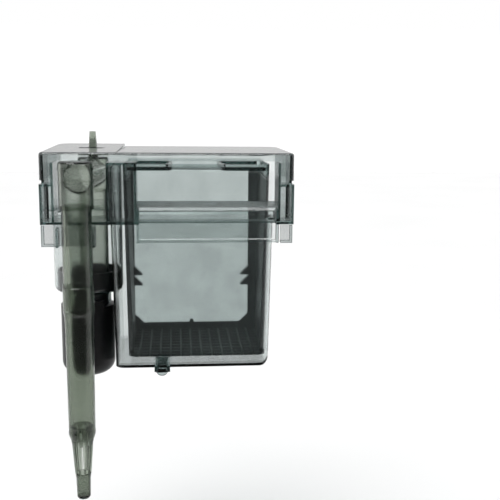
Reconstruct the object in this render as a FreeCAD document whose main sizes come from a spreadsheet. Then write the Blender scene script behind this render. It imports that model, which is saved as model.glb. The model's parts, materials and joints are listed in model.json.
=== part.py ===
import FreeCAD, Part
import math
import os

import Sketcher

# A hang-on-back aquarium filter. The frame has +X to the right as seen from the tank, +Y away from the
# tank and +Z up. Z = 0 is the underside of the seat that rests on the tank's rim, X = 0 is the middle
# of the filter's width and Y = 0 is the middle of the gap that takes the tank's wall.

doc = FreeCAD.newDocument("HangOnBackFilter")
sheet = doc.addObject("Spreadsheet::Sheet", "Sizes")


class Size:
    """A length or angle that knows its number and the sheet formula that gives it."""

    def __init__(self, value, formula):
        self.value = value
        self.formula = formula

    def _with(self, other, sign, result):
        return Size(result, f"({self.formula} {sign} {text(other)})")

    def __add__(self, other):
        return self._with(other, "+", self.value + number(other))

    def __sub__(self, other):
        return self._with(other, "-", self.value - number(other))

    def __mul__(self, other):
        return self._with(other, "*", self.value * number(other))

    def __truediv__(self, other):
        return self._with(other, "/", self.value / number(other))

    def __radd__(self, other):
        return Size(other + self.value, f"({other} + {self.formula})")

    def __rsub__(self, other):
        return Size(other - self.value, f"({other} - {self.formula})")

    def __rmul__(self, other):
        return Size(other * self.value, f"({other} * {self.formula})")

    def __neg__(self):
        return Size(-self.value, f"(0 - {self.formula})")


def number(size):
    return size.value if isinstance(size, Size) else size


def text(size):
    return size.formula if isinstance(size, Size) else f"{size:.6g}"


# Driving dimensions in millimetres and degrees, one row of the sheet each.
CELLS = {
    # the case
    "wall": 2.2,
    "case_half": 110.4,
    "case_rear": 115.6,
    "case_brim": 61.4,
    "corner": 14,
    "gap_rear": 11,
    "porch_front": -14,
    "column_half": 112.4,
    "column_step": 36,
    "column_recess": 2.1,
    "ledge_front": -3,
    "ledge_height": 1.6,
    "seat": 2.7,
    "left_column": -100.1,
    "panel_left": -54.4,
    "lip_left": -28,
    "lip_right": 98.2,
    "panel_top": 54.8,
    "weir_top": 17.4,
    "lip_foot": -15.7,
    "hook_foot": -18.8,
    "fork_left": -97.9,
    "fork_right": -64.2,
    "fork_reach": 10,
    "hook_flange": 4,
    "cheek_reach": 6,
    "dam_top": 20,
    # the media chamber and the pump well, both parts of the case
    "chamber_left": -54,
    "chamber_right": 97.2,
    "chamber_foot": -140.6,
    "chamber_draft": 2.8,
    "chamber_corner": 9,
    "well_x": -78.5,
    "well_y": 57,
    "well_radius": 33,
    "well_foot": -73.5,
    "well_floor": -70.5,
    "well_round": 6,
    "divider_top": 50,
    "impeller_cover_radius": 30.3,
    "impeller_cover_wall": 1.8,
    "impeller_cover_top": -52.5,
    "collar_radius": 22.8,
    "collar_length": 10.5,
    "tab_sweep": 24,
    "tab_height": 2.4,
    # the covers
    "cover_half": 112.5,
    "cover_rear": 119.5,
    "cover_top": 63.7,
    "cover_rise": 2.5,
    "cover_wall": 1.9,
    "cover_seam": -45,
    "cover_corner": 15,
    "cover_front_corner": 5,
    "cover_edge": 2.6,
    "gate_x": 38.5,
    "gate_z": 60.4,
    "gate_radius": 1.3,
    "slot_half": 5.2,
    "skirt_foot": 56.7,
    "end_skirt_foot": 39.2,
    # the media basket
    "basket_left": -42,
    "basket_right": 93.9,
    "basket_front": 15.4,
    "basket_rear": 112,
    "basket_top": 52,
    "basket_foot": -131,
    "basket_draft": 2.9,
    "basket_wall": 1.8,
    "basket_corner": 7.6,
    "basket_floor": 2.4,
    "window_left": 5.2,
    "window_right": 12,
    "window_foot": -121.4,
    "window_top": 40,
    "window_chamfer": 9,
    "grid_pitch": 9.9,
    "grid_bar": 1.7,
    "grid_margin": 4,
    "barb_top": -69.6,
    "barb_reach": 8,
    "barb_drop": 10.8,
    "handle_level": 47.4,
    "handle_reach": 39,
    "handle_bar": 3.4,
    "handle_gap": 1.5,
    "pivot_inset": 6,
    "pin_radius": 1.4,
    "pin_play": 0.16,
    # the intake: crossing tube, extension tube and strainer
    "leg_x": -78.5,
    "leg_y": -31,
    "span": 79,
    "leg_radius": 13,
    "hood_radius": 14.8,
    "tube_wall": 2,
    "hood_foot": 17.6,
    "hood_top": 57,
    "crossing_level": 42,
    "leg_foot": -50.5,
    "spigot_foot": -71,
    "inner_foot": -66,
    "lever_top": 80.4,
    "flow_angle": 5.4,
    "socket_foot": -75.5,
    "socket_radius": 13.7,
    "extension_foot": -191.4,
    "cage_foot": -227.6,
    "tip_foot": -248.2,
    # the motor under the pump well
    "pump_x": -79.5,
    "pump_y": 48,
    "motor_radius": 25.5,
    "motor_top": -88,
    "motor_foot": -154,
    "motor_round": 13,
    "neck_radius": 19.9,
    "impeller_bore": 14.5,
    "impeller_well_foot": -128,
    "magnet_radius": 11,
    "magnet_top": -92,
    "magnet_length": 30,
    "vane_radius": 12.8,
    "shaft_radius": 1.25,
    "gland_bore": 3.25,
    # the foot that levels the case against the tank
    "foot_x": -7.3,
    "foot_radius": 5.85,
    "foot_tip": -147,
    "stem_half": 4.1,
    "stem_play": 0.3,
}
for row, (alias, amount) in enumerate(CELLS.items(), 1):
    sheet.set(f"A{row}", alias)
    sheet.set(f"B{row}", str(amount))
    sheet.setAlias(f"B{row}", alias)
doc.recompute()
S = {alias: Size(sheet.get(alias), f"Sizes.{alias}") for alias in CELLS}


# ---- helpers -------------------------------------------------------------------------------------
def bind(target, place, size):
    target.setExpression(place, text(size))


def locate(target, x=0, y=0, z=0):
    for axis, size in zip("xyz", (x, y, z)):
        bind(target, f"Placement.Base.{axis}", size)
    return target


def box(name, x, y, z):
    """A block between the low and high values given along each axis."""
    block = doc.addObject("Part::Box", name)
    for side, (low, high) in zip(("Length", "Width", "Height"), (x, y, z)):
        bind(block, side, high - low)
    return locate(block, x[0], y[0], z[0])


def disc(name, x, y, z, radius, span=None):
    """An upright cylinder between two heights, or the sector of it that span = (start, sweep) gives."""
    cylinder = doc.addObject("Part::Cylinder", name)
    bind(cylinder, "Radius", radius)
    bind(cylinder, "Height", z[1] - z[0])
    if span:
        bind(cylinder, "Angle", span[1])
        cylinder.Placement.Rotation = FreeCAD.Rotation(FreeCAD.Vector(0, 0, 1), number(span[0]))
    return locate(cylinder, x, y, z[0])


def rod(name, x, y, z, radius):
    """A cylinder lying along X or Y: the axis whose value is a (low, high) pair."""
    along_x = isinstance(x, tuple)
    low, high = x if along_x else y
    turn = FreeCAD.Rotation(FreeCAD.Vector(0, 1, 0), 90)
    if not along_x:
        turn = FreeCAD.Rotation(FreeCAD.Vector(1, 0, 0), -90)
    cylinder = doc.addObject("Part::Cylinder", name)
    cylinder.Placement.Rotation = turn
    bind(cylinder, "Radius", radius)
    bind(cylinder, "Height", high - low)
    return locate(cylinder, low if along_x else x, y if along_x else low, z)


def ring(name, x, y, z, inner, outer, span=None):
    return cut(name, disc(name + "_outer", x, y, z, outer, span), disc(name + "_inner", x, y, z, inner))


def tapered(name, x, y, z, draft):
    """A tub-shaped block that gets narrower by the draft on every side from its top to its foot."""
    block = doc.addObject("Part::Wedge", name)
    corners = {
        "Xmin": x[0], "Xmax": x[1], "Zmin": y[0], "Zmax": y[1], "Ymin": 0, "Ymax": z[1] - z[0],
        "X2min": x[0] + draft, "X2max": x[1] - draft, "Z2min": y[0] + draft / 2, "Z2max": y[1] - draft,
    }
    for corner, size in corners.items():
        bind(block, corner, size)
    block.Placement.Rotation = FreeCAD.Rotation(FreeCAD.Vector(1, 0, 0), -90)
    return locate(block, 0, 0, z[1])


def cut(name, base, *tools):
    result = doc.addObject("Part::Cut", name)
    result.Base = base
    result.Tool = tools[0] if len(tools) == 1 else fuse(name + "_tools", *tools)
    return result


def fuse(name, *shapes):
    result = doc.addObject("Part::MultiFuse", name)
    result.Shapes = list(shapes)
    return result


def rounded(name, base, radius, chosen):
    """The base with the edges that the test picks rounded. The test is given an edge's middle and size."""
    doc.recompute()
    picked = []
    for index, edge in enumerate(base.Shape.Edges, 1):
        bounds = edge.BoundBox
        middle = bounds.Center
        size = FreeCAD.Vector(bounds.XLength, bounds.YLength, bounds.ZLength)
        if chosen(middle, size):
            picked.append((index, number(radius), number(radius)))
    if not picked:
        raise ValueError(f"{name} found no edge to round")
    result = doc.addObject("Part::Fillet", name)
    result.Base = base
    result.Edges = picked
    return result


def upright(middle, size):
    """True for an edge that runs mainly up and down."""
    return size.z > 5 and size.x < 4 and size.y < 4


def profile(body, role, points):
    """A closed outline on one of the body's origin planes, each corner tied to the sheet."""
    plane = next(f for f in body.Origin.OriginFeatures if f.Role == role)
    sketch = body.newObject("Sketcher::SketchObject", body.Name + "_outline")
    sketch.AttachmentSupport = (plane, [""])
    sketch.MapMode = "FlatFace"
    spots = [FreeCAD.Vector(number(u), number(v), 0) for u, v in points]
    for start, end in zip(spots, spots[1:] + spots[:1]):
        sketch.addGeometry(Part.LineSegment(start, end), False)
    for index in range(len(spots)):
        before = index - 1 if index else len(spots) - 1
        sketch.addConstraint(Sketcher.Constraint("Coincident", before, 2, index, 1))
    for index, sizes in enumerate(points):
        for kind, size in zip(("DistanceX", "DistanceY"), sizes):
            made = sketch.addConstraint(Sketcher.Constraint(kind, -1, 1, index, 1, number(size)))
            if isinstance(size, Size):
                sketch.setExpression(f"Constraints[{made}]", size.formula)
    return sketch


def turned(name, points, x=0, y=0, z=0):
    """A body turned about an upright axis from (radius, height) corners."""
    body = doc.addObject("PartDesign::Body", name)
    sketch = profile(body, "XZ_Plane", points)
    turning = body.newObject("PartDesign::Revolution", name + "_turned")
    turning.Profile = sketch
    turning.ReferenceAxis = (sketch, ["V_Axis"])
    turning.Angle = 360
    return locate(body, x, y, z)


def extruded(name, role, points, length):
    """A body pushed out of one of its origin planes, towards the plane's own normal."""
    body = doc.addObject("PartDesign::Body", name)
    sketch = profile(body, role, points)
    pad = body.newObject("PartDesign::Pad", name + "_pad")
    pad.Profile = sketch
    bind(pad, "Length", length)
    return body


def repeated(body, feature, outline, count):
    """The feature repeated evenly about the body's own upright axis."""
    pattern = body.newObject("PartDesign::PolarPattern", feature.Name + "_pattern")
    pattern.Originals = [feature]
    pattern.Axis = (outline, ["V_Axis"])
    pattern.Angle = 360
    pattern.Occurrences = count
    body.Tip = pattern
    return body


PARTS = []
BAYONET_STARTS = (-72, 108)
GRID_COLUMNS = 13
GRID_ROWS = 9


def finish(shape, label):
    """Names a finished sub-part, which is then written to its own file."""
    shape.Label = label
    PARTS.append(shape)
    return shape


# ---- the case ------------------------------------------------------------------------------------
def filter_case():
    """The tub: media chamber, pump well, rim box, spillway lip and the columns that hook over the rim."""
    wall = S["wall"]
    half = S["case_half"]
    rear = S["case_rear"]
    brim = S["case_brim"]
    gap = S["gap_rear"]
    seat = S["seat"]
    front = S["porch_front"]
    draft = S["chamber_draft"]
    floor = S["well_floor"]

    def at_rear_corner(middle, size):
        return upright(middle, size) and middle.y > 90

    shell = rounded("rim_box", box("rim_box_block", (-half, half), (gap, rear), (seat - wall, brim)),
                    S["corner"], at_rear_corner)
    chamber = tapered("chamber_block", (S["chamber_left"], S["chamber_right"]), (gap, rear),
                      (S["chamber_foot"], seat), draft)

    def chamber_corner(middle, size):
        return upright(middle, size) or (size.y > 50 and middle.z < -100 and middle.x > 50)

    chamber = rounded("chamber_outside", chamber, S["chamber_corner"], chamber_corner)
    well = well_cup("well", seat)
    collar = disc("motor_collar", S["pump_x"], S["pump_y"],
                  (S["well_foot"] - S["collar_length"], S["well_foot"] + 1), S["collar_radius"])
    tabs = [
        ring(f"collar_tab_{start}", S["pump_x"], S["pump_y"],
             (S["well_foot"] - S["collar_length"], S["well_foot"] - S["collar_length"] + S["tab_height"]),
             S["collar_radius"] - 1, S["collar_radius"] + 2, (start, S["tab_sweep"]))
        for start in BAYONET_STARTS
    ]
    hollow_block = box("rim_hollow_block", (wall - half, half - wall), (gap + wall, rear - wall),
                       (seat, brim + 1))
    hollow = rounded("rim_hollow", hollow_block, S["corner"] - wall, at_rear_corner)
    chamber_hollow = tapered("chamber_hollow_block", (S["chamber_left"] + wall, S["chamber_right"] - wall),
                             (gap + wall, rear - wall), (S["chamber_foot"] + wall, seat + 1), draft)
    chamber_hollow = rounded("chamber_hollow", chamber_hollow, S["chamber_corner"] - 2, chamber_corner)
    well_hollow = disc("well_hollow", S["well_x"], S["well_y"], (floor, S["divider_top"] + 1),
                       S["well_radius"] - wall)
    impeller_way = disc("impeller_way", S["pump_x"], S["pump_y"], (S["well_foot"] - 20, floor + 1),
                        S["impeller_bore"] + 0.3)
    collar_bore = disc("collar_bore", S["pump_x"], S["pump_y"], (S["well_foot"] - 20, S["well_foot"]),
                       S["neck_radius"] + 0.5)
    # The porch in front of the tub stands over the tank's wall, between the tub and the porch's front.
    inner = front + wall
    edge = S["column_half"]
    step = S["column_step"]
    left = S["left_column"]
    panel = S["panel_left"]
    lip = S["lip_left"]
    end = S["lip_right"]
    top = S["panel_top"]
    recess = S["column_recess"]
    upper_face = (front + recess, inner + recess)
    upper_side = (front + recess, gap + wall)
    porch = [
        box("left_column_face", (-edge, left), (front, inner), (0, step)),
        box("left_column_side", (-edge, wall - edge), (front, gap + wall), (0, step)),
        box("left_column_shoulder", (-edge, left), (front, gap), (step - wall, step)),
        box("left_column_upper_face", (-half, left), upper_face, (step - wall, top)),
        box("left_column_upper_side", (-half, wall - half), upper_side, (step - wall, brim)),
        box("left_column_inner_wall", (left - wall, left), (front, gap + wall), (0, top)),
        box("left_seat", (-edge, lip), (front, gap + 1), (0, seat)),
        box("front_panel", (panel, lip), (front, inner), (0, top)),
        box("front_panel_left_wall", (panel, panel + wall), (front, gap + 1), (0, top)),
        box("front_panel_right_wall", (lip - wall, lip), (front, gap + 1), (0, top)),
        box("front_panel_top", (panel, lip), (front, gap + 1), (top - wall, top)),
        box("right_column_inner_wall", (end, end + wall), (front, gap + 1), (0, top)),
        box("right_column_face", (end, edge), (front, inner), (0, step)),
        box("right_column_side", (edge - wall, edge), (front, gap + wall), (0, step)),
        box("right_column_shoulder", (end, edge), (front, gap), (step - wall, step)),
        box("right_column_upper_face", (end, half), upper_face, (step - wall, top)),
        box("right_column_upper_side", (half - wall, half), upper_side, (step - wall, brim)),
        box("right_seat", (end, edge), (front, gap + 1), (0, seat)),
        box("rim_ledge", (lip, end), (S["ledge_front"], gap + 1), (0, S["ledge_height"])),
    ]
    tray = (front - S["hook_flange"], inner)
    hook_left = 1.2 - edge
    hook_right = edge - 1.6
    right_foot = S["lip_foot"] - 0.6
    hooks = [
        box("left_hook", (hook_left, S["fork_right"]), (front, inner), (S["hook_foot"], 1)),
        box("left_hook_side", (hook_left, hook_left + wall), tray, (S["hook_foot"], -0.5)),
        box("left_hook_rib", (hook_left, S["fork_left"]), tray, (S["hook_foot"], S["hook_foot"] + wall)),
        box("fork_left_wall", (S["fork_left"], S["fork_left"] + wall), (front - S["fork_reach"], inner),
            (S["hook_foot"], -2)),
        box("fork_right_wall", (S["fork_right"] - wall, S["fork_right"]), (front - S["fork_reach"], inner),
            (S["hook_foot"], -2)),
        box("right_hook", (end + 2, hook_right), (front, inner), (right_foot, 1)),
        box("right_hook_side", (hook_right - wall, hook_right), tray, (right_foot, -0.5)),
        box("right_hook_rib", (end + 2, hook_right), tray, (right_foot, right_foot + wall)),
    ]
    spillway = spillway_lip()
    # Cheeks close the tongue's ends over the seat, and stand in front of the apron down to its foot.
    hang = (S["lip_foot"], S["weir_top"] - 2.6)
    cheeks = [
        box("lip_left_cheek", (lip, lip + 1.8), (front + 1, gap), (0, S["weir_top"] - 4)),
        box("lip_right_cheek", (end - 1.8, end), (front + 1, gap), (0, S["weir_top"] - 4)),
        box("apron_left_cheek", (lip, lip + wall), (front - S["cheek_reach"], front + wall), hang),
        box("apron_right_cheek", (end - wall, end), (front - S["cheek_reach"], front + wall), hang),
        box("apron_rib", (lip, end), (front - 3, front + wall), (S["lip_foot"], S["lip_foot"] + wall)),
    ]
    # A low dam closes the tub behind the notch that the intake tube crosses.
    dam = box("notch_dam", (left - 1, panel + 1), (gap, gap + wall), (0, S["dam_top"]))
    front_cut = box("front_opening", (lip, end), (gap - 1, gap + wall + 1), (S["weir_top"], brim + 2))
    notch_cut = box("notch_opening", (left, panel), (gap - 1, gap + wall + 1), (seat, brim + 2))
    rails = foot_rails()
    outside = fuse("case_outside", shell, chamber, well, collar, *tabs, *rails)
    ways = (impeller_way, collar_bore, front_cut, notch_cut)
    shape = cut("case_tub", outside, hollow, chamber_hollow, well_hollow, *ways)
    parts = [*porch, *hooks, spillway, *cheeks, dam, *pump_divider(well_hollow)]
    finish(fuse("case", shape, *parts), "filter_case")


def well_cup(name, top):
    """The pump well's outside, up to the given level, with its foot's edge rounded."""
    block = disc(name + "_block", S["well_x"], S["well_y"], (S["well_foot"], top), S["well_radius"])

    def foot_edge(middle, size):
        return middle.z < number(S["well_foot"]) + 1 and size.z < 1

    return rounded(name + "_outside", block, S["well_round"], foot_edge)


def pump_divider(well_hollow):
    """The wall between the pump well and the media chamber: the well's own round side, and a flat on each
    side of it above the seat. A port above the impeller's cover lets the pumped water through."""
    wall = S["wall"]
    plane = S["chamber_left"]
    x = S["well_x"]
    y = S["well_y"]
    reach = S["well_radius"] + 1
    top = S["divider_top"]
    flat_foot = S["seat"] - 1
    flat_start = 20
    beyond = box("divider_trim", (x - reach, plane), (y - reach, y + reach), (S["well_foot"] - 1, top + 1))
    port_foot = S["impeller_cover_top"] + 2
    port = box("divider_port", (plane, x + reach), (y + 5, y + 13), (port_foot, port_foot + 36))
    return [
        cut("divider_round", well_cup("divider", top), well_hollow, beyond, port),
        box("divider_front", (plane, plane + wall), (S["gap_rear"] + 1, y - flat_start), (flat_foot, top)),
        box("divider_rear", (plane, plane + wall), (y + flat_start, S["case_rear"] - 1), (flat_foot, top)),
    ]


def foot_rails():
    """Two rails with inward lips under the chamber, which the levelling foot's stem slides between."""
    gap = S["gap_rear"]
    bottom = S["chamber_foot"]
    foot = S["foot_x"]
    rails = []
    for side, sign in (("left", -1), ("right", 1)):
        inside = foot + sign * (number(S["stem_half"]) + number(S["stem_play"]))
        outer = inside + sign * 3
        reach = inside - sign * 1.5
        spans = {-1: ((outer, inside), (outer, reach)), 1: ((inside, outer), (reach, outer))}[sign]
        length = (gap + 4, gap + 34)
        rails.append(box(f"foot_rail_{side}", spans[0], length, (bottom - 5.6, bottom + 1)))
        rails.append(box(f"foot_rail_{side}_lip", spans[1], length, (bottom - 5.6, bottom - 4.3)))
    return rails


def spillway_lip():
    """The weir's sloping tongue and the apron that hangs down inside the tank, as one swept section."""
    wall = S["wall"]
    front = S["porch_front"]
    top = S["weir_top"]
    foot = S["lip_foot"]
    gap = S["gap_rear"]
    section = [
        (gap + wall, top + 0.8), (gap, top + 0.8), (front + 6, top - 1.2), (front + 2.4, top - 2.6),
        (front + 0.6, top - 4.8), (front, top - 8), (front, foot + 3), (front - 1, foot + 2),
        (front - 1, foot), (front + wall, foot), (front + wall, top - 8.4), (front + wall + 1, top - 6),
        (front + 6.6, top - 3.6), (gap, top - 1.8), (gap + wall, top - 1.8),
    ]
    body = extruded("spillway", "YZ_Plane", section, S["lip_right"] - S["lip_left"])
    return locate(body, S["lip_left"], 0, 0)


# ---- the covers ----------------------------------------------------------------------------------
def cover(name, x, rise):
    """A lid's outside: a block whose top may rise towards the rear."""
    block = doc.addObject("Part::Wedge", name)
    foot = S["end_skirt_foot"]
    corners = {
        "Xmin": x[0], "Xmax": x[1], "X2min": x[0], "X2max": x[1],
        "Ymin": S["porch_front"], "Ymax": S["cover_rear"],
        "Zmin": foot, "Zmax": S["cover_top"], "Z2min": foot, "Z2max": S["cover_top"] + rise,
    }
    for corner, size in corners.items():
        bind(block, corner, size)
    return block


def cover_shell(name, x, rise, outer_side):
    """A lid of even wall with its outer end rounded: outer_side is -1 for the left lid, 1 for the right."""
    wall = S["cover_wall"]
    front = S["porch_front"]
    rear = S["cover_rear"]
    brim = S["cover_top"]

    def rear_corner(middle, size):
        return size.z > 10 and middle.y > 60 and outer_side * middle.x > 60

    def front_corner(middle, size):
        return size.z > 10 and middle.y < 0 and outer_side * middle.x > 60

    def top_edge(middle, size):
        on_top = middle.z > number(brim) - 1 and size.z < 6
        return on_top and not (size.y > 60 and abs(middle.x - number(S["cover_seam"])) < 2)

    shell = rounded(name + "_rear_corner", cover(name + "_block", x, rise), S["cover_corner"], rear_corner)
    shell = rounded(name + "_front_corner", shell, S["cover_front_corner"], front_corner)
    shell = rounded(name + "_outside", shell, S["cover_edge"], top_edge)
    inside_x = (x[0] + wall, x[1]) if outer_side < 0 else (x[0], x[1] - wall)
    hollow = doc.addObject("Part::Wedge", name + "_hollow_block")
    foot = S["end_skirt_foot"] - 1
    corners = {
        "Xmin": inside_x[0], "Xmax": inside_x[1], "X2min": inside_x[0], "X2max": inside_x[1],
        "Ymin": front + wall, "Ymax": rear - wall,
        "Zmin": foot, "Zmax": brim - wall, "Z2min": foot, "Z2max": brim - wall + rise,
    }
    for corner, size in corners.items():
        bind(hollow, corner, size)
    hollow = rounded(name + "_hollow", hollow, S["cover_corner"] - 2, rear_corner)
    beyond = S["left_column"] - wall - 0.7 if outer_side < 0 else S["lip_right"] + wall + 0.7
    between = (beyond, x[1] + 1) if outer_side < 0 else (x[0] - 1, beyond)
    front_trim = box(name + "_front_trim", between, (front - 1, front + 4), (foot, S["skirt_foot"]))
    rear_trim = box(name + "_rear_trim", (x[0] - 1, x[1] + 1), (rear - 17, rear + 1), (foot, S["skirt_foot"]))
    return cut(name + "_shell", shell, hollow, front_trim, rear_trim)


def covers():
    seam = S["cover_seam"]
    half = S["cover_half"]
    media = cover_shell("media", (seam, half), 0.01, 1)
    stub = (S["porch_front"] - 0.5, S["porch_front"] + 1)
    gate = rod("gate_mark", S["gate_x"], stub, S["gate_z"], S["gate_radius"])
    finish(fuse("media_lid", media, gate), "media_cover")
    intake = cover_shell("intake", (-half, seam - 0.5), S["cover_rise"], -1)
    # The lever's slot is an arc about the intake leg, which the crossing tube turns on.
    rest = 90 - number(S["flow_angle"])
    slot = ring("lever_slot", S["leg_x"], S["leg_y"], (S["cover_top"] - 6, S["cover_top"] + 6),
                S["span"] - S["slot_half"], S["span"] + S["slot_half"], (rest - 7.4, 16.8))
    finish(cut("intake_lid", intake, slot), "intake_cover")


# ---- the media basket ----------------------------------------------------------------------------
def media_basket():
    """A tapered basket: solid sides, a grid for its floor and an open window in its rear wall."""
    wall = S["basket_wall"]
    left = S["basket_left"]
    right = S["basket_right"]
    front = S["basket_front"]
    rear = S["basket_rear"]
    top = S["basket_top"]
    foot = S["basket_foot"]
    draft = S["basket_draft"]
    block = tapered("basket_block", (left, right), (front, rear), (foot, top), draft)
    block = rounded("basket_outside", block, S["basket_corner"], upright)
    hollow = tapered("basket_hollow_block", (left + wall, right - wall), (front + wall, rear - wall),
                     (foot + S["basket_floor"], top + 1), draft)
    hollow = rounded("basket_hollow", hollow, S["basket_corner"] - wall, upright)

    def bottom_corner(bounds):
        return bounds.YLength > 5 and bounds.XLength < 1 and bounds.Center.z < -100

    sill = (left + S["window_left"], right - S["window_right"])
    window_block = box("window_block", sill, (rear - 8, rear + 2), (S["window_foot"], S["window_top"]))
    window = doc.addObject("Part::Chamfer", "basket_window")
    doc.recompute()
    window.Base = window_block
    chamfer = number(S["window_chamfer"])
    window.Edges = [
        (index, chamfer, chamfer) for index, edge in enumerate(window_block.Shape.Edges, 1)
        if bottom_corner(edge.BoundBox)
    ]
    tools = [hollow, window]
    pitch = S["grid_pitch"]
    opening = pitch - S["grid_bar"]
    for column in range(GRID_COLUMNS):
        for row in range(GRID_ROWS):
            x = left + S["grid_margin"] + column * pitch
            y = front + S["grid_margin"] + row * pitch
            tools.append(box(f"grid_hole_{column}_{row}", (x, x + opening), (y, y + opening),
                             (foot - 1, foot + 3)))
    pivot_inset = S["pivot_inset"]
    hole = S["pin_radius"] + S["pin_play"]
    for side, x in (("left", left + pivot_inset), ("right", right - pivot_inset)):
        tools.append(rod(f"pivot_holes_{side}", x, (front - 1, rear + 1), S["handle_level"], hole))
    shape = cut("basket_shell", block, *tools)
    reach = S["barb_reach"]
    extras = []
    for count in range(2):
        under = S["barb_top"] - count * S["barb_drop"]
        for side, edge_x, sign in (("left", sill[0] + 0.2, 1), ("right", sill[1] - 0.2, -1)):
            extras.append(barb(f"barb_{side}_{count}", edge_x, under, reach, sign))
    extras.append(box("window_nub", (20.5, 24.3), (rear - 5, rear - 3.2), (-122.5, -118)))
    extras.append(box("floor_rib", (left + 4, right - 4), (front + 1, front + 3.4), (foot + 1, foot + 6)))
    finish(fuse("basket", shape, *extras), "filter_basket")
    handles(left + pivot_inset, right - pivot_inset)


def barb(name, x, z, reach, sign):
    """A saw-tooth on the window's side: flat below and sloping above."""
    rear = S["basket_rear"]
    body = doc.addObject("PartDesign::Body", name)
    sketch = profile(body, "XZ_Plane", [(-1.5 * sign, 0), (reach * sign, 0), (reach * sign * 0.94, 1.2),
                                        (-1.5 * sign, 10.4)])
    pad = body.newObject("PartDesign::Pad", name + "_pad")
    pad.Profile = sketch
    pad.Length = 6.4
    return locate(body, x, rear - 2, z)


def handles(left_pivot, right_pivot):
    """The two U-shaped bails that fold in over the basket's mouth, each on its own pins."""
    bar = S["handle_bar"]
    front = S["basket_front"] + S["basket_wall"] + S["handle_gap"]
    rear = S["basket_rear"] - S["basket_wall"] - S["handle_gap"]
    level = S["handle_level"]
    for side, pivot, sign in (("left", left_pivot, 1), ("right", right_pivot, -1)):
        tip = pivot + sign * S["handle_reach"]
        low, high = (pivot - 2.4, tip) if sign > 0 else (tip, pivot + 2.4)
        plate = box(f"handle_{side}_plate", (low, high), (front, rear), (level - bar / 2, level + bar / 2))

        def tip_corner(middle, size):
            return size.z > 2 and size.x < 1 and size.y < 1 and abs(middle.x - number(tip)) < 1

        def root_corner(middle, size):
            return size.z > 2 and size.x < 1 and size.y < 1 and abs(middle.x - number(tip)) > 20

        plate = rounded(f"handle_{side}_outline", plate, 8, tip_corner)
        plate = rounded(f"handle_{side}_root", plate, 2.4, root_corner)
        window = (low - 1, high - bar) if sign > 0 else (low + bar, high + 1)
        hollow = box(f"handle_{side}_window", window, (front + bar, rear - bar), (level - 4, level + 4))

        def window_corner(middle, size):
            return size.z > 2 and size.x < 1 and size.y < 1 and abs(middle.x - number(tip)) < 6

        hollow = rounded(f"handle_{side}_hollow", hollow, 5, window_corner)
        frame = cut(f"handle_{side}_frame", plate, hollow)
        pin = S["pin_radius"]
        pins = [
            rod(f"handle_{side}_front_pin", pivot, (S["basket_front"] + 0.4, front + 1), level, pin),
            rod(f"handle_{side}_rear_pin", pivot, (rear - 1, S["basket_rear"] - 0.4), level, pin),
        ]
        grip = box(f"handle_{side}_grip", (tip - 6, tip - 1) if sign > 0 else (tip + 1, tip + 6), (56, 72),
                   (level - bar / 2, level + bar / 2))
        finish(fuse(f"handle_{side}", frame, grip, *pins), f"basket_handle_{side}")


# ---- the intake ----------------------------------------------------------------------------------
def crossing_tube():
    """The tube over the rim, with the flow lever's pin. Its own frame has the intake leg on its Z axis."""
    leg = S["leg_radius"]
    hood = S["hood_radius"]
    wall = S["tube_wall"]
    top = S["hood_top"]
    span = S["span"]
    level = S["crossing_level"]
    foot = S["leg_foot"]
    spigot = S["spigot_foot"]
    inner_foot = S["inner_foot"]
    outside = fuse(
        "tube_outside",
        disc("hood", 0, 0, (S["hood_foot"], top), hood),
        disc("intake_leg", 0, 0, (foot, S["hood_foot"] + 1), leg),
        disc("intake_spigot", 0, 0, (spigot, foot + 1), leg - 1),
        rod("crossing", 0, (0, span), level, hood - 0.6),
        disc("pump_hood", 0, span, (S["dam_top"] + 4, top - 0.4), hood - 0.4),
        disc("pump_leg", 0, span, (inner_foot, S["dam_top"] + 5), leg - 0.6),
    )
    bands = [
        ring("hood_band", 0, 0, (50, 51.6), hood - 1, hood + 0.5),
        ring("hood_lower_band", 0, 0, (38, 40), hood - 1, hood + 0.4),
        ring("hood_skirt", 0, 0, (S["hood_foot"] - 1.2, S["hood_foot"] + 1.2), leg - 1, hood + 0.3),
        ring("leg_stop", 0, 0, (foot, foot + 2), leg - 1, leg + 0.5),
    ]

    def cap_edge(middle, size):
        return middle.z > 56 and size.z < 0.5 and size.x > 4

    outside = rounded("tube_capped", outside, 2.5, cap_edge)
    bores = [
        disc("hood_bore", 0, 0, (S["hood_foot"] + 2, top - wall), hood - wall),
        disc("leg_bore", 0, 0, (spigot - 1, S["hood_foot"] + 3), leg - 1 - wall),
        rod("crossing_bore", 0, (0, span), level, hood - 0.6 - wall),
        disc("pump_hood_bore", 0, span, (S["dam_top"] + 6, top - 0.4 - wall), hood - 0.4 - wall),
        disc("pump_leg_bore", 0, span, (inner_foot - 1, S["dam_top"] + 7), leg - 0.6 - wall),
    ]
    pin = doc.addObject("Part::Cone", "lever_pin")
    bind(pin, "Radius1", 4.6)
    bind(pin, "Radius2", 2.9)
    bind(pin, "Height", S["lever_top"] - top + 1)
    locate(pin, 0, span, top - 1)
    web = box("lever_web", (-0.9, 0.9), (span - 10, span + 10), (top - 1, top + 3))
    tube = fuse("crossing_tube", cut("tube_bored", outside, *bores), *bands, pin, web)
    locate(tube, S["leg_x"], S["leg_y"], 0)
    tube.Placement.Rotation = FreeCAD.Rotation(FreeCAD.Vector(0, 0, 1), -number(S["flow_angle"]))
    finish(tube, "u_tube")


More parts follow.
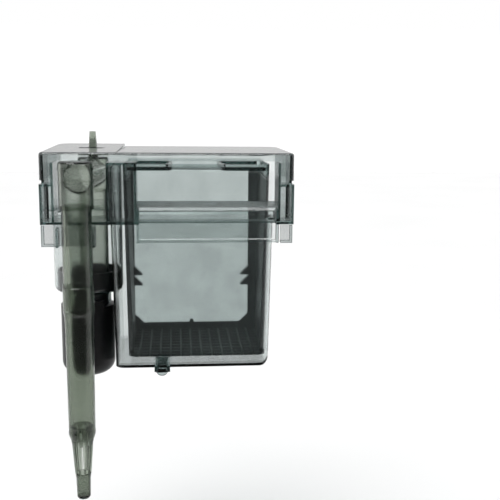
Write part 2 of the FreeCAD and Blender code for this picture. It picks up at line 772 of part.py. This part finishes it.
def extension_tube():
    """The tube that slides over the intake leg's spigot and carries the strainer at its foot."""
    socket = S["socket_radius"]
    foot = S["extension_foot"]
    joint = S["leg_foot"] - 0.4
    step = S["socket_foot"]
    slip = S["leg_radius"] - 1 + 0.06
    outline = [
        (slip, joint), (socket - 0.5, joint), (socket, joint - 0.8), (socket, step + 1.2), (12.9, step - 1.5),
        (12.55, step - 8), (11.8, foot + 9), (12.1, foot + 6.5), (11.9, foot + 4.5), (10.9, foot + 1.2),
        (10.4, foot), (9.55, foot), (9.55, foot + 13), (9.8, foot + 14), (10.5, step - 8), (10.9, step - 1.5),
        (slip, step + 2.2),
    ]
    finish(turned("extension_tube_body", outline, S["leg_x"], S["leg_y"]), "extension_tube")


def strainer():
    """The slotted cage pushed into the extension tube's foot, closed by a blunt tip."""
    foot = S["cage_foot"]
    collar = S["extension_foot"]
    tip = S["tip_foot"]
    outline = [
        (7.9, collar + 12), (9.5, collar + 12), (9.5, collar - 0.3), (9.9, collar - 0.6), (9.9, collar - 2.4),
        (9.4, collar - 3), (7.5, foot + 6), (6.7, foot), (6.4, foot - 2), (6, tip + 1.4), (5, tip),
        (0, tip), (0, tip + 3), (4.4, tip + 3), (4.8, foot), (5.9, foot + 6), (7.7, collar - 3),
    ]
    body = turned("strainer_body", outline, S["leg_x"], S["leg_y"])
    ribs = body.Group[0]
    rows = (("long", 1.25, foot + 3, collar - 5), ("collar", 1.1, collar + 2, collar + 9))
    for name, half, low, high in rows:
        slot = profile(body, "XZ_Plane", [(-half, low), (half, low), (half, high), (-half, high)])
        pocket = body.newObject("PartDesign::Pocket", f"strainer_{name}_slot")
        pocket.Profile = slot
        pocket.Length = 30
        repeated(body, pocket, ribs, 10)
    finish(body, "strainer")


# ---- the motor -----------------------------------------------------------------------------------
def motor():
    x = S["pump_x"]
    y = S["pump_y"]
    top = S["motor_top"]
    foot = S["motor_foot"]
    radius = S["motor_radius"]
    neck = S["neck_radius"]
    bore = S["impeller_bore"]
    seal_top = S["well_foot"] - 0.02
    seal_foot = seal_top - 2.5
    well_foot = S["impeller_well_foot"]
    turn = S["motor_round"]
    wall = 2.2

    def foot_edge(middle, size):
        return middle.z < number(foot) + 6 and size.z < 0.5

    cup = rounded("housing_outside", disc("housing_block", x, y, (foot, top), radius), turn, foot_edge)
    cup_hollow_block = disc("housing_hollow_block", x, y, (foot + wall, top + 1), radius - wall)
    cup_hollow = rounded("housing_hollow", cup_hollow_block, turn - wall, foot_edge)
    gland_level = foot + 26
    gland_way = rod("gland_way", x, (y + radius - 8, y + radius + 4), gland_level, 4.5)
    gland_boss = cut("gland_boss_ring",
                     rod("gland_boss", x, (y + radius - 1.6, y + radius + 3), gland_level, 6.6),
                     rod("gland_boss_way", x, (y + radius - 4, y + radius + 5), gland_level, 4.5))
    finish(fuse("housing", cut("housing_cup", cup, cup_hollow, gland_way), gland_boss), "motor_housing")

    cap_outline = [
        (bore, seal_foot), (neck, seal_foot), (neck, top + 2.4), (radius, top + 2.4), (radius, top + 0.05),
        (radius - 2.3, top + 0.05), (radius - 2.3, top - 2.4), (bore + 1.6, top - 2.4),
        (bore + 1.6, well_foot - 1.8), (0, well_foot - 1.8), (0, well_foot), (bore, well_foot),
    ]
    cap = turned("cap_body", cap_outline, x, y)
    collar = S["collar_radius"]
    hook_low = top + 2.4
    hook_high = S["well_foot"] - S["collar_length"] + 5.2
    hooks = []
    for start in BAYONET_STARTS:
        span = (start, S["tab_sweep"])
        hooks += [
            ring(f"hook_post_{start}", x, y, (hook_low - 1, hook_high), collar + 2.3, collar + 4.6, span),
            ring(f"hook_lip_{start}", x, y, (hook_high - 2.2, hook_high), collar + 0.3, collar + 4.6, span),
            ring(f"hook_base_{start}", x, y, (hook_low - 2.2, hook_low), neck + 1, collar + 4.6, span),
        ]
    finish(fuse("cap", cap, *hooks), "motor_cap")

    seal = (bore + 0.4, neck + 0.3)
    seal_outline = [(seal[0], seal_foot), (seal[1], seal_foot), (seal[1], seal_top), (seal[0], seal_top)]
    finish(turned("seal_body", seal_outline, x, y), "motor_seal")

    gland_bore = S["gland_bore"]
    gland_outline = [
        (gland_bore, 0), (4.45, 0), (4.45, 6.6), (6, 6.6), (6, 8.4), (5.2, 9), (4.6, 16), (gland_bore, 16),
    ]
    gland = turned("gland_body", gland_outline)
    gland.Placement.Rotation = FreeCAD.Rotation(FreeCAD.Vector(1, 0, 0), -90)
    finish(locate(gland, x, y + radius - 3.5, gland_level), "cord_gland")

    # The stator: a U of laminations whose legs stand beside the impeller's well, with its coil on the yoke.
    yoke_foot = foot + 13.6
    yoke_top = yoke_foot + 6.5
    legs = [
        box("stator_leg_left", (x - 21.6, x - 16.6), (y - 7.5, y + 7.5), (yoke_foot, S["magnet_top"] - 3)),
        box("stator_leg_right", (x + 16.6, x + 21.6), (y - 7.5, y + 7.5), (yoke_foot, S["magnet_top"] - 3)),
    ]
    yoke = box("stator_yoke", (x - 21.6, x + 21.6), (y - 7.5, y + 7.5), (yoke_foot, yoke_top))
    finish(fuse("stator", yoke, *legs), "stator_core")
    middle = yoke_foot + 3.25
    cheek = ((y - 11.6, y + 11.6), (middle - 7.3, middle + 7.3))
    sleeve = cut(
        "bobbin_blank",
        fuse(
            "bobbin_outside",
            box("bobbin_sleeve", (x - 15.8, x + 15.8), (y - 9, y + 9), (middle - 4.7, middle + 4.7)),
            box("bobbin_left_cheek", (x - 15.8, x - 14.4), *cheek),
            box("bobbin_right_cheek", (x + 14.4, x + 15.8), *cheek),
        ),
        box("bobbin_way", (x - 17, x + 17), (y - 7.55, y + 7.55), (middle - 3.3, middle + 3.3)),
    )
    finish(sleeve, "coil_bobbin")

    def coil_edge(middle, size):
        return size.x > 10 and size.y < 1 and size.z < 1

    coil_block = box("coil_block", (x - 14.35, x + 14.35), (y - 11.2, y + 11.2), (middle - 6.9, middle + 6.9))
    winding = cut(
        "coil",
        rounded("coil_outside", coil_block, 2.4, coil_edge),
        box("coil_way", (x - 17, x + 17), (y - 9.05, y + 9.05), (middle - 4.75, middle + 4.75)),
    )
    finish(winding, "coil_winding")


def impeller_cover():
    """A black cup that stands on the pump well's floor, round the impeller and the tube's foot."""
    radius = S["impeller_cover_radius"]
    foot = S["well_floor"] + 0.05
    top = S["impeller_cover_top"]
    wall = S["impeller_cover_wall"]
    cup = disc("impeller_cover_block", S["well_x"], S["well_y"], (foot, top), radius)
    hollow = disc("impeller_cover_hollow", S["well_x"], S["well_y"], (foot + wall, top + 1), radius - wall)
    way = disc("impeller_cover_way", S["pump_x"], S["pump_y"], (foot - 1, top), S["impeller_bore"] + 0.8)
    finish(cut("impeller_cup", cup, hollow, way), "impeller_cover")


def rotor():
    """What turns in the well: magnet, vanes and their shaft's bushes, in the pump's own upright axis."""
    x = S["pump_x"]
    y = S["pump_y"]
    top = S["magnet_top"]
    magnet_foot = top - S["magnet_length"]
    radius = S["magnet_radius"]
    shaft = S["shaft_radius"]
    well = S["impeller_well_foot"]
    running = shaft + 0.07
    magnet = [
        (running, magnet_foot), (radius - 0.8, magnet_foot), (radius, magnet_foot + 0.8),
        (radius, top - 0.8), (radius - 0.8, top), (running, top),
    ]
    finish(turned("magnet_body", magnet, x, y), "rotor_magnet")
    vane = S["vane_radius"]
    hub_outline = [
        (running, top), (radius - 1, top), (radius - 1, top + 1.6), (vane, top + 1.6), (vane, top + 3),
        (4.2, top + 3.6), (3.4, top + 17), (running, top + 17),
    ]
    body = turned("impeller_body", hub_outline, x, y)
    hub = body.Group[0]
    blade = profile(body, "XZ_Plane", [(2.2, top + 2), (vane, top + 2), (vane, top + 14), (2.2, top + 16)])
    pad = body.newObject("PartDesign::Pad", "impeller_blade")
    pad.Profile = blade
    pad.Length = 1.4
    pad.Midplane = True
    repeated(body, pad, hub, 6)
    finish(body, "impeller")
    shaft_top = top + 22
    finish(disc("shaft", x, y, (well + 1.2, shaft_top), shaft), "impeller_shaft")
    lower = [(0, well + 0.02), (3.6, well + 0.02), (3.6, well + 3), (2.6, well + 4.4), (shaft, well + 4.4),
             (shaft, well + 1.2), (0, well + 1.2)]
    finish(turned("lower_bush_body", lower, x, y), "shaft_bush_lower")
    upper = [(shaft, shaft_top - 3), (2.6, shaft_top - 3), (3, shaft_top - 2.4), (3, shaft_top + 0.6),
             (2.2, shaft_top + 1.4), (0, shaft_top + 1.4), (0, shaft_top), (shaft, shaft_top)]
    finish(turned("upper_bush_body", upper, x, y), "shaft_bush_upper")
    washer = [(running, magnet_foot - 1.3), (3.2, magnet_foot - 1.3), (3.2, magnet_foot - 0.3),
              (running, magnet_foot - 0.3)]
    finish(turned("washer_body", washer, x, y), "thrust_washer")


# ---- the levelling foot --------------------------------------------------------------------------
def leveling_foot():
    """A pad that presses on the tank's wall, on a stem that slides in rails under the chamber."""
    x = S["foot_x"]
    radius = S["foot_radius"]
    tip = S["foot_tip"]
    gap = S["gap_rear"]
    bottom = S["chamber_foot"]
    face = (gap - 4.6, gap - 0.8)
    pad = fuse(
        "foot_pad_outline",
        rod("foot_pad_round", x, face, tip + radius, radius),
        box("foot_pad_upper", (x - radius, x + radius), face, (tip + radius, -130)),
    )
    half = S["stem_half"]
    stem = box("foot_stem", (x - half, x + half), (face[1] - 1, gap + 38),
               (bottom - half, bottom - S["stem_play"]))
    teeth = [
        box(f"foot_tooth_{index}", (x - 2.6, x + 2.6), (gap + 16 + 4 * index, gap + 17.6 + 4 * index),
            (bottom - 4.9, bottom - 4))
        for index in range(5)
    ]
    finish(fuse("foot", pad, stem, *teeth), "leveling_foot")


filter_case()
covers()
media_basket()
crossing_tube()
extension_tube()
strainer()
motor()
impeller_cover()
rotor()
leveling_foot()
doc.recompute()

# ---- checks and files ----------------------------------------------------------------------------
faults = [f"{o.Name}: {', '.join(o.State)}" for o in doc.Objects if {"Invalid", "Error"} & set(o.State)]
for part in PARTS:
    if part.Shape.isNull() or not part.Shape.isValid():
        faults.append(f"{part.Label}: no valid shape")
if faults:
    raise RuntimeError("; ".join(faults))
os.makedirs("parts", exist_ok=True)
for part in PARTS:
    solids = len(part.Shape.Solids)
    print(f"{part.Label}: {solids} solid(s), {part.Shape.Volume / 1000:.2f} cm3")
    part.Shape.exportStep(f"parts/{part.Label}.step")
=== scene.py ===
import json
import math

import bpy
from mathutils import Matrix, Vector


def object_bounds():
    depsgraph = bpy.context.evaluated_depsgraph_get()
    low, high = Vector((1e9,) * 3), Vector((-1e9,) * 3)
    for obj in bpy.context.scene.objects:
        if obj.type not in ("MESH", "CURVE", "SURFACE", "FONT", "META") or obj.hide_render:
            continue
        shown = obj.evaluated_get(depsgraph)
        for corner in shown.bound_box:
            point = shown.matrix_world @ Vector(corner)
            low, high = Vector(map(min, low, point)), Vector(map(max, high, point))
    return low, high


# A hang-on-back aquarium filter in clear smoke-grey plastic. Lengths are metres, in the frame of the
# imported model: +X to the right as seen from the tank, +Y away from the tank, +Z up.

MM = 0.001

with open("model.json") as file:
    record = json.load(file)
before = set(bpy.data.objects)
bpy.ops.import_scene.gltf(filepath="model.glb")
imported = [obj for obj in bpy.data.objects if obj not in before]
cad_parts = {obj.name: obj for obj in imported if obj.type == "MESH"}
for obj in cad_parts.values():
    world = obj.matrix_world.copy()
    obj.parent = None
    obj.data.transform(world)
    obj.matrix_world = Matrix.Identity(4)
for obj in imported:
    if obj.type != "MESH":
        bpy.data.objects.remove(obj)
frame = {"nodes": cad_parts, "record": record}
cad_low, cad_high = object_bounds()
nodes = frame["nodes"]
scene = bpy.context.scene

CLEAR_IOR = 1.49
OPAQUE_IOR = 1.5
PLAIN_SHEEN = 0.5
LAMP_TINT = (0.93, 0.96, 0.96)


# ---------------------------------------------------------------------------------------------------
# materials
# ---------------------------------------------------------------------------------------------------

class Recipe:
    """A node material with one Principled shader, and short ways to feed its sockets with patterns."""

    def __init__(self, name):
        self.material = bpy.data.materials.new(name)
        self.material.use_nodes = True
        self.tree = self.material.node_tree
        self.tree.nodes.clear()
        self.output = self.node("ShaderNodeOutputMaterial")
        self.shader = self.node("ShaderNodeBsdfPrincipled")
        self.link(self.shader, "BSDF", self.output, "Surface")
        self.place = self.node("ShaderNodeTexCoord")
        self.last_bump = None

    def node(self, kind, **values):
        made = self.tree.nodes.new(kind)
        for name, value in values.items():
            if name in made.inputs:
                made.inputs[name].default_value = value
            else:
                setattr(made, name, value)
        return made

    def link(self, source, out_name, target, in_name):
        self.tree.links.new(source.outputs[out_name], target.inputs[in_name])

    def fixed(self, **values):
        for name, value in values.items():
            self.shader.inputs[name.replace("_", " ")].default_value = value

    def stretched(self, scale):
        mapping = self.node("ShaderNodeMapping")
        mapping.inputs["Scale"].default_value = scale
        self.link(self.place, "Object", mapping, "Vector")
        return mapping

    def noise(self, grain, detail=3.0, stretch=(1, 1, 1), roughness=0.5):
        """Noise whose features are about `grain` metres across, as a 0 to 1 value."""
        mapping = self.stretched(stretch)
        made = self.node("ShaderNodeTexNoise", Scale=1 / grain, Detail=detail, Roughness=roughness)
        self.link(mapping, "Vector", made, "Vector")
        return made, "Fac"

    def spread(self, source, low, high, start=0.3, end=0.7):
        made = self.node("ShaderNodeMapRange")
        made.inputs["From Min"].default_value = start
        made.inputs["From Max"].default_value = end
        made.inputs["To Min"].default_value = low
        made.inputs["To Max"].default_value = high
        self.link(source[0], source[1], made, "Value")
        return made, "Result"

    def from_mask(self, mask, at_zero, at_one):
        """A value that runs from at_zero to at_one as the mask runs from 0 to 1."""
        return self.spread(mask, at_zero, at_one, start=0.0, end=1.0)

    def flipped(self, mask):
        return self.from_mask(mask, 1.0, 0.0)

    def colours(self, source, dark, light):
        ramp = self.node("ShaderNodeValToRGB")
        ramp.color_ramp.elements[0].position = 0.3
        ramp.color_ramp.elements[1].position = 0.7
        ramp.color_ramp.elements[0].color = (*dark, 1)
        ramp.color_ramp.elements[1].color = (*light, 1)
        self.link(source[0], source[1], ramp, "Fac")
        self.link(ramp, "Color", self.shader, "Base Color")

    def facing_tank(self):
        """1 on faces that look towards or away from the tank, 0 on a moulding's sides, top and floor."""
        facing = self.node("ShaderNodeNewGeometry")
        axes = self.node("ShaderNodeSeparateXYZ")
        self.link(facing, "Normal", axes, "Vector")
        size = self.node("ShaderNodeMath", operation="ABSOLUTE")
        self.tree.links.new(axes.outputs["Y"], size.inputs[0])
        return self.spread((size, "Value"), 0.0, 1.0, start=0.2, end=0.8)

    def beyond(self, axis, level, blur=0.05 * MM):
        """1 where the moulding lies past the level along its axis, 0 before it."""
        axes = self.node("ShaderNodeSeparateXYZ")
        self.link(self.place, "Object", axes, "Vector")
        return self.spread((axes, axis), 0.0, 1.0, level - blur, level + blur)

    def joined(self, operation, first, second):
        made = self.node("ShaderNodeMath", operation=operation)
        self.tree.links.new(first[0].outputs[first[1]], made.inputs[0])
        self.tree.links.new(second[0].outputs[second[1]], made.inputs[1])
        return made, "Value"

    def outside(self, **spans):
        """0 inside a block that has a (low, high) span along some axes, and 1 outside it."""
        found = None
        for axis, (low, high) in spans.items():
            above = self.flipped(self.beyond(axis, low))
            clear = self.joined("MAXIMUM", above, self.beyond(axis, high))
            found = self.joined("MAXIMUM", found, clear) if found else clear
        return found

    # Painted shade: the base colour is scaled down to shade where the unshaded mask is 0.
    def paint_shade_on_colour(self, unshaded, shade):
        painted_shade = self.node("ShaderNodeVectorMath", operation="SCALE")
        self.tree.links.new(self.shader.inputs["Base Color"].links[0].from_socket, painted_shade.inputs[0])
        tint = self.from_mask(unshaded, shade, 1.0)
        self.link(tint[0], tint[1], painted_shade, "Scale")
        self.link(painted_shade, "Vector", self.shader, "Base Color")

    def painted_shade(self, unshaded, shade, clearness, dullness, sheen):
        """Where unshaded is 0 the plastic gets a painted shade, its colour scaled down to shade, and it is
        less clear, duller and less shiny, and where it is 1 the plastic is left as it is."""
        self.paint_shade_on_colour(unshaded, shade)
        clear = self.from_mask(unshaded, clearness, 1.0)
        self.link(clear[0], clear[1], self.shader, "Transmission Weight")
        shine = self.from_mask(unshaded, sheen, PLAIN_SHEEN)
        self.link(shine[0], shine[1], self.shader, "Specular IOR Level")
        dull = self.from_mask(unshaded, dullness, 0.0)
        plain = self.shader.inputs["Roughness"].links[0]
        duller = self.joined("MAXIMUM", (plain.from_node, plain.from_socket.name), dull)
        self.link(duller[0], duller[1], self.shader, "Roughness")

    def roughness(self, source, low, high):
        made = self.spread(source, low, high)
        self.link(made[0], made[1], self.shader, "Roughness")

    def bump(self, source, height, strength=1.0):
        made = self.node("ShaderNodeBump", Strength=strength, Distance=height)
        self.link(source[0], source[1], made, "Height")
        if self.last_bump is None:
            self.link(made, "Normal", self.shader, "Normal")
        else:
            self.link(made, "Normal", self.last_bump, "Normal")
        self.last_bump = made

    def dye(self, colour, density):
        """A dye in the plastic, which darkens what is seen through it with the length of the way."""
        dye = self.node("ShaderNodeVolumeAbsorption", Color=(*colour, 1), Density=density)
        self.link(dye, "Volume", self.output, "Volume")

    def let_lamps_through(self, colour):
        """Lamps shine through the wall, tinted, so that what is inside is lit."""
        path = self.node("ShaderNodeLightPath")
        window = self.node("ShaderNodeBsdfTransparent", Color=(*colour, 1))
        choice = self.node("ShaderNodeMixShader")
        self.link(path, "Is Shadow Ray", choice, "Fac")
        self.tree.links.new(self.shader.outputs["BSDF"], choice.inputs[1])
        self.tree.links.new(window.outputs["BSDF"], choice.inputs[2])
        self.link(choice, "Shader", self.output, "Surface")


def clear_plastic(name, tint, density, gloss=(0.02, 0.09), satin_and_shade=None):
    """Clear dyed moulding: dark where it is looked at along its thickness, pale through its walls. The
    satin_and_shade argument is a function that makes parts of the moulding satin and gives them a painted
    shade."""
    recipe = Recipe(name)
    recipe.fixed(Transmission_Weight=1.0, IOR=CLEAR_IOR)
    recipe.colours(recipe.noise(22 * MM, detail=2.0), (0.94, 0.94, 0.94), (1.0, 1.0, 1.0))
    recipe.roughness(recipe.noise(1.6 * MM, detail=6.0, stretch=(1.0, 1.0, 5.0)), *gloss)
    if satin_and_shade:
        satin_and_shade(recipe)
    recipe.bump(recipe.noise(30 * MM, detail=1.0), 0.012 * MM)
    recipe.bump(recipe.noise(0.9 * MM, detail=4.0), 0.002 * MM)
    recipe.dye(tint, density)
    recipe.let_lamps_through(LAMP_TINT)
    return recipe.material


def case_satin_and_painted_shade(recipe):
    """Faces in front of the tub that look sideways, up or down are satin with a painted shade. The front
    panel, the chamber's floor and the hooks get a painted shade by their place alone: their walls are no
    thicker than the rest."""
    unshaded = recipe.joined("MAXIMUM", recipe.facing_tank(), recipe.beyond("Y", TUB_FRONT + 0.5 * MM))
    recipe.painted_shade(unshaded, shade=0.5, clearness=0.8, dullness=0.12, sheen=0.4)
    recipe.paint_shade_on_colour(recipe.outside(X=PANEL, Y=PORCH), PANEL_SHADE)
    recipe.paint_shade_on_colour(recipe.outside(Z=CHAMBER_FLOOR), FLOOR_SHADE)
    for across in (LEFT_HOOK, RIGHT_HOOK):
        recipe.paint_shade_on_colour(recipe.outside(X=across, Y=PORCH, Z=HOOK_HEIGHT), HOOK_SHADE)


# The cover's sides, top and underside are satin and get a painted shade.
def cover_satin_and_painted_shade(recipe):
    recipe.painted_shade(recipe.facing_tank(), shade=0.4, clearness=0.75, dullness=0.2, sheen=PLAIN_SHEEN)


def basket_satin_and_painted_shade(recipe):
    """The basket's front wall and its brim are clear, and its sides, floor and rear frame are satin with a
    painted shade that makes them dark.
    """
    front_wall = recipe.flipped(recipe.beyond("Y", BASKET_FRONT_WALL))
    brim = recipe.beyond("Z", BASKET_BRIM, blur=BRIM_BLUR)
    unshaded = recipe.joined("MAXIMUM", front_wall, brim)
    recipe.painted_shade(unshaded, shade=0.12, clearness=0.15, dullness=0.4, sheen=PLAIN_SHEEN)


# The handles' sides, tops and undersides are satin and get a painted shade.
def handle_satin_and_painted_shade(recipe):
    recipe.painted_shade(recipe.facing_tank(), shade=0.3, clearness=0.5, dullness=0.2, sheen=PLAIN_SHEEN)


def moulded_plastic(name, dark, light, gloss, grain, depth, shine=PLAIN_SHEEN):
    """Opaque moulding with a spark-eroded texture."""
    recipe = Recipe(name)
    recipe.fixed(IOR=OPAQUE_IOR, Specular_IOR_Level=shine)
    recipe.colours(recipe.noise(9 * MM, detail=4.0), dark, light)
    recipe.roughness(recipe.noise(1.2 * MM, detail=5.0), *gloss)
    recipe.bump(recipe.noise(grain, detail=4.0, roughness=0.65), depth)
    return recipe.material


def metal(name, dark, light, gloss, stretch):
    recipe = Recipe(name)
    recipe.fixed(Metallic=1.0)
    recipe.colours(recipe.noise(1.5 * MM, detail=5.0, stretch=stretch), dark, light)
    recipe.roughness(recipe.noise(0.8 * MM, detail=6.0, stretch=stretch), *gloss)
    recipe.bump(recipe.noise(0.4 * MM, detail=4.0, stretch=stretch), 0.004 * MM)
    return recipe.material


# Where a moulding's satin and painted shade begin, along the imported model's axes.
TUB_FRONT = 11 * MM
PORCH = (-30 * MM, -1 * MM)
PANEL = (-54.5 * MM, -27.9 * MM)
LEFT_HOOK = (-115 * MM, -64 * MM)
RIGHT_HOOK = (98.5 * MM, 115 * MM)
HOOK_HEIGHT = (-20 * MM, -0.1 * MM)
CHAMBER_FLOOR = (-150 * MM, -136 * MM)
BASKET_FRONT_WALL = 19 * MM
BASKET_BRIM = 40 * MM
BRIM_BLUR = 4 * MM
# Painted shade: the case colour is scaled down to these values on the front panel, the chamber's floor and
# the hooks.
PANEL_SHADE = 0.68
FLOOR_SHADE = 0.8
HOOK_SHADE = 0.72

SMOKE = (0.385, 0.50, 0.485)
OLIVE = (0.45, 0.51, 0.42)

finishes = {
    "smoke_case": clear_plastic("smoke_case", SMOKE, density=125, satin_and_shade=case_satin_and_painted_shade),
    "smoke_cover": clear_plastic(
        "smoke_cover", SMOKE, density=175, gloss=(0.04, 0.14), satin_and_shade=cover_satin_and_painted_shade
    ),
    "smoke_basket": clear_plastic(
        "smoke_basket", SMOKE, density=430, gloss=(0.0, 0.03), satin_and_shade=basket_satin_and_painted_shade
    ),
    "olive_tube": clear_plastic("olive_tube", OLIVE, density=340, gloss=(0.08, 0.2)),
    "smoke_foot": clear_plastic("smoke_foot", SMOKE, density=320),
    "black_plastic": moulded_plastic(
        "black_plastic", (0.003, 0.003, 0.0035), (0.008, 0.008, 0.009), (0.28, 0.42), 0.5 * MM, 0.02 * MM,
        shine=0.25,
    ),
    "black_rubber": moulded_plastic(
        "black_rubber", (0.012, 0.012, 0.012), (0.022, 0.022, 0.021), (0.6, 0.8), 0.3 * MM, 0.03 * MM
    ),
    "lamination_steel": metal(
        "lamination_steel", (0.28, 0.29, 0.31), (0.5, 0.51, 0.53), (0.3, 0.5), (1, 1, 9)
    ),
    "white_plastic": moulded_plastic(
        "white_plastic", (0.66, 0.64, 0.58), (0.78, 0.76, 0.70), (0.35, 0.5), 0.6 * MM, 0.01 * MM
    ),
    "copper_wire": metal("copper_wire", (0.45, 0.16, 0.05), (0.72, 0.30, 0.12), (0.2, 0.35), (1, 1, 6)),
    "magnet_ferrite": moulded_plastic(
        "magnet_ferrite", (0.03, 0.03, 0.032), (0.06, 0.06, 0.064), (0.35, 0.5), 0.4 * MM, 0.02 * MM
    ),
    "impeller_plastic": moulded_plastic(
        "impeller_plastic", (0.58, 0.60, 0.58), (0.70, 0.72, 0.70), (0.3, 0.45), 0.6 * MM, 0.01 * MM
    ),
    "shaft_steel": metal("shaft_steel", (0.50, 0.51, 0.53), (0.68, 0.69, 0.70), (0.12, 0.25), (1, 1, 12)),
}

# These four share a plastic with bigger pieces in the model's record, and are dyed deeper than those.
handle_plastic = clear_plastic(
    "smoke_handle", SMOKE, density=1500, gloss=(0.03, 0.1), satin_and_shade=handle_satin_and_painted_shade
)
deeper = {
    "basket_handle_left": handle_plastic,
    "basket_handle_right": handle_plastic,
    "extension_tube": clear_plastic("olive_extension", OLIVE, density=700, gloss=(0.08, 0.2)),
    "strainer": clear_plastic("olive_strainer", OLIVE, density=1050, gloss=(0.10, 0.24)),
}

slot_of = {row["node"]: row["material_slot"] for row in frame["record"]["subparts"]}
for name, node in nodes.items():
    for slot in node.material_slots:
        slot.material = deeper.get(name, finishes[slot_of[name]])


# ---------------------------------------------------------------------------------------------------
# studio
# ---------------------------------------------------------------------------------------------------

def plane(name, half, front, height):
    mesh = bpy.data.meshes.new(name)
    corners = [(-half, front, height), (half, front, height), (half, half, height), (-half, half, height)]
    mesh.from_pydata(corners, [], [(0, 1, 2, 3)])
    made = bpy.data.objects.new(name, mesh)
    scene.collection.objects.link(made)
    return made


def softbox(name, place, target, size, power):
    light = bpy.data.lights.new(name, "AREA")
    light.shape = "RECTANGLE"
    light.size, light.size_y = size
    light.energy = power
    made = bpy.data.objects.new(name, light)
    made.location = place
    made.rotation_euler = (Vector(target) - Vector(place)).to_track_quat("-Z", "Y").to_euler()
    scene.collection.objects.link(made)
    return made


FLOOR_HALF = 6.0
FLOOR_FRONT = -0.55
FLOOR_DROP = 0.16

floor = plane("floor", FLOOR_HALF, FLOOR_FRONT, cad_low.z - FLOOR_DROP)
paper = Recipe("floor_paper")
paper.colours(paper.noise(0.4, detail=2.0), (0.86, 0.86, 0.86), (0.88, 0.88, 0.88))
paper.fixed(Roughness=0.9)
floor.data.materials.append(paper.material)

# The studio is bright behind the filter and dim on the side that faces the tank and high up. The
# backdrop that the camera itself sees is evenly white.
world = bpy.data.worlds.new("studio")
world.use_nodes = True
sky = world.node_tree
direction = sky.nodes.new("ShaderNodeTexCoord")
parts = sky.nodes.new("ShaderNodeSeparateXYZ")
sky.links.new(direction.outputs["Generated"], parts.inputs[0])


def sky_fade(axis, start, end, low, high):
    fade = sky.nodes.new("ShaderNodeMapRange")
    fade.interpolation_type = "SMOOTHSTEP"
    for name, value in (("From Min", start), ("From Max", end), ("To Min", low), ("To Max", high)):
        fade.inputs[name].default_value = value
    sky.links.new(parts.outputs[axis], fade.inputs["Value"])
    return fade.outputs["Result"]


def sky_sum(operation, first, second):
    made = sky.nodes.new("ShaderNodeMath")
    made.operation = operation
    sky.links.new(first, made.inputs[0])
    sky.links.new(second, made.inputs[1])
    return made.outputs["Value"]


around = sky_sum(
    "MULTIPLY",
    sky_fade("Y", start=-0.5, end=0.45, low=0.13, high=1.08),
    sky_fade("Z", start=0.03, end=0.3, low=1.0, high=0.5),
)
eye = sky.nodes.new("ShaderNodeLightPath")
strength = sky_sum("MAXIMUM", around, eye.outputs["Is Camera Ray"])
sky.links.new(strength, sky.nodes["Background"].inputs["Strength"])
sky.nodes["Background"].inputs["Color"].default_value = (1.0, 1.0, 1.0, 1)
scene.world = world

SUN_POWER = 2.9
SUN_SPREAD = math.radians(50)

daylight = bpy.data.lights.new("daylight", "SUN")
daylight.energy = SUN_POWER
daylight.angle = SUN_SPREAD
sun = bpy.data.objects.new("daylight", daylight)
sun.rotation_euler = (math.radians(18), math.radians(-14), 0)
scene.collection.objects.link(sun)
softbox("front_left", place=(-0.9, -1.0, 0.6), target=(0, 0, -0.03), size=(0.4, 0.9), power=1.5)


# ---------------------------------------------------------------------------------------------------
# camera
# ---------------------------------------------------------------------------------------------------

CAMERA_PLACE = Vector((0.00726, -0.730, 0.10117))
CAMERA_YAW = math.radians(5.251)
CAMERA_PITCH = math.radians(9.819)
CAMERA_ROLL = math.radians(0.548)
LENS_LENGTH = 58.13
SENSOR_WIDTH = 36
NEAREST = 0.01

ahead = Vector((
    math.sin(CAMERA_YAW) * math.cos(CAMERA_PITCH),
    math.cos(CAMERA_YAW) * math.cos(CAMERA_PITCH),
    -math.sin(CAMERA_PITCH),
))
level = Vector((math.cos(CAMERA_YAW), -math.sin(CAMERA_YAW), 0))
upward = level.cross(ahead)
right = math.cos(CAMERA_ROLL) * level + math.sin(CAMERA_ROLL) * upward
top = math.cos(CAMERA_ROLL) * upward - math.sin(CAMERA_ROLL) * level
lens = bpy.data.cameras.new("camera")
lens.lens = LENS_LENGTH
lens.sensor_width = SENSOR_WIDTH
lens.clip_start = NEAREST
camera = bpy.data.objects.new("camera", lens)
turn = Matrix((right, top, -ahead)).transposed()
camera.matrix_world = Matrix.Translation(CAMERA_PLACE) @ turn.to_4x4()
scene.collection.objects.link(camera)
scene.camera = camera

scene.view_settings.view_transform = "Standard"
CLEAR_WALL_BOUNCES = 24
GLOSSY_BOUNCES = 8
scene.cycles.max_bounces = CLEAR_WALL_BOUNCES
scene.cycles.transmission_bounces = CLEAR_WALL_BOUNCES
scene.cycles.glossy_bounces = GLOSSY_BOUNCES
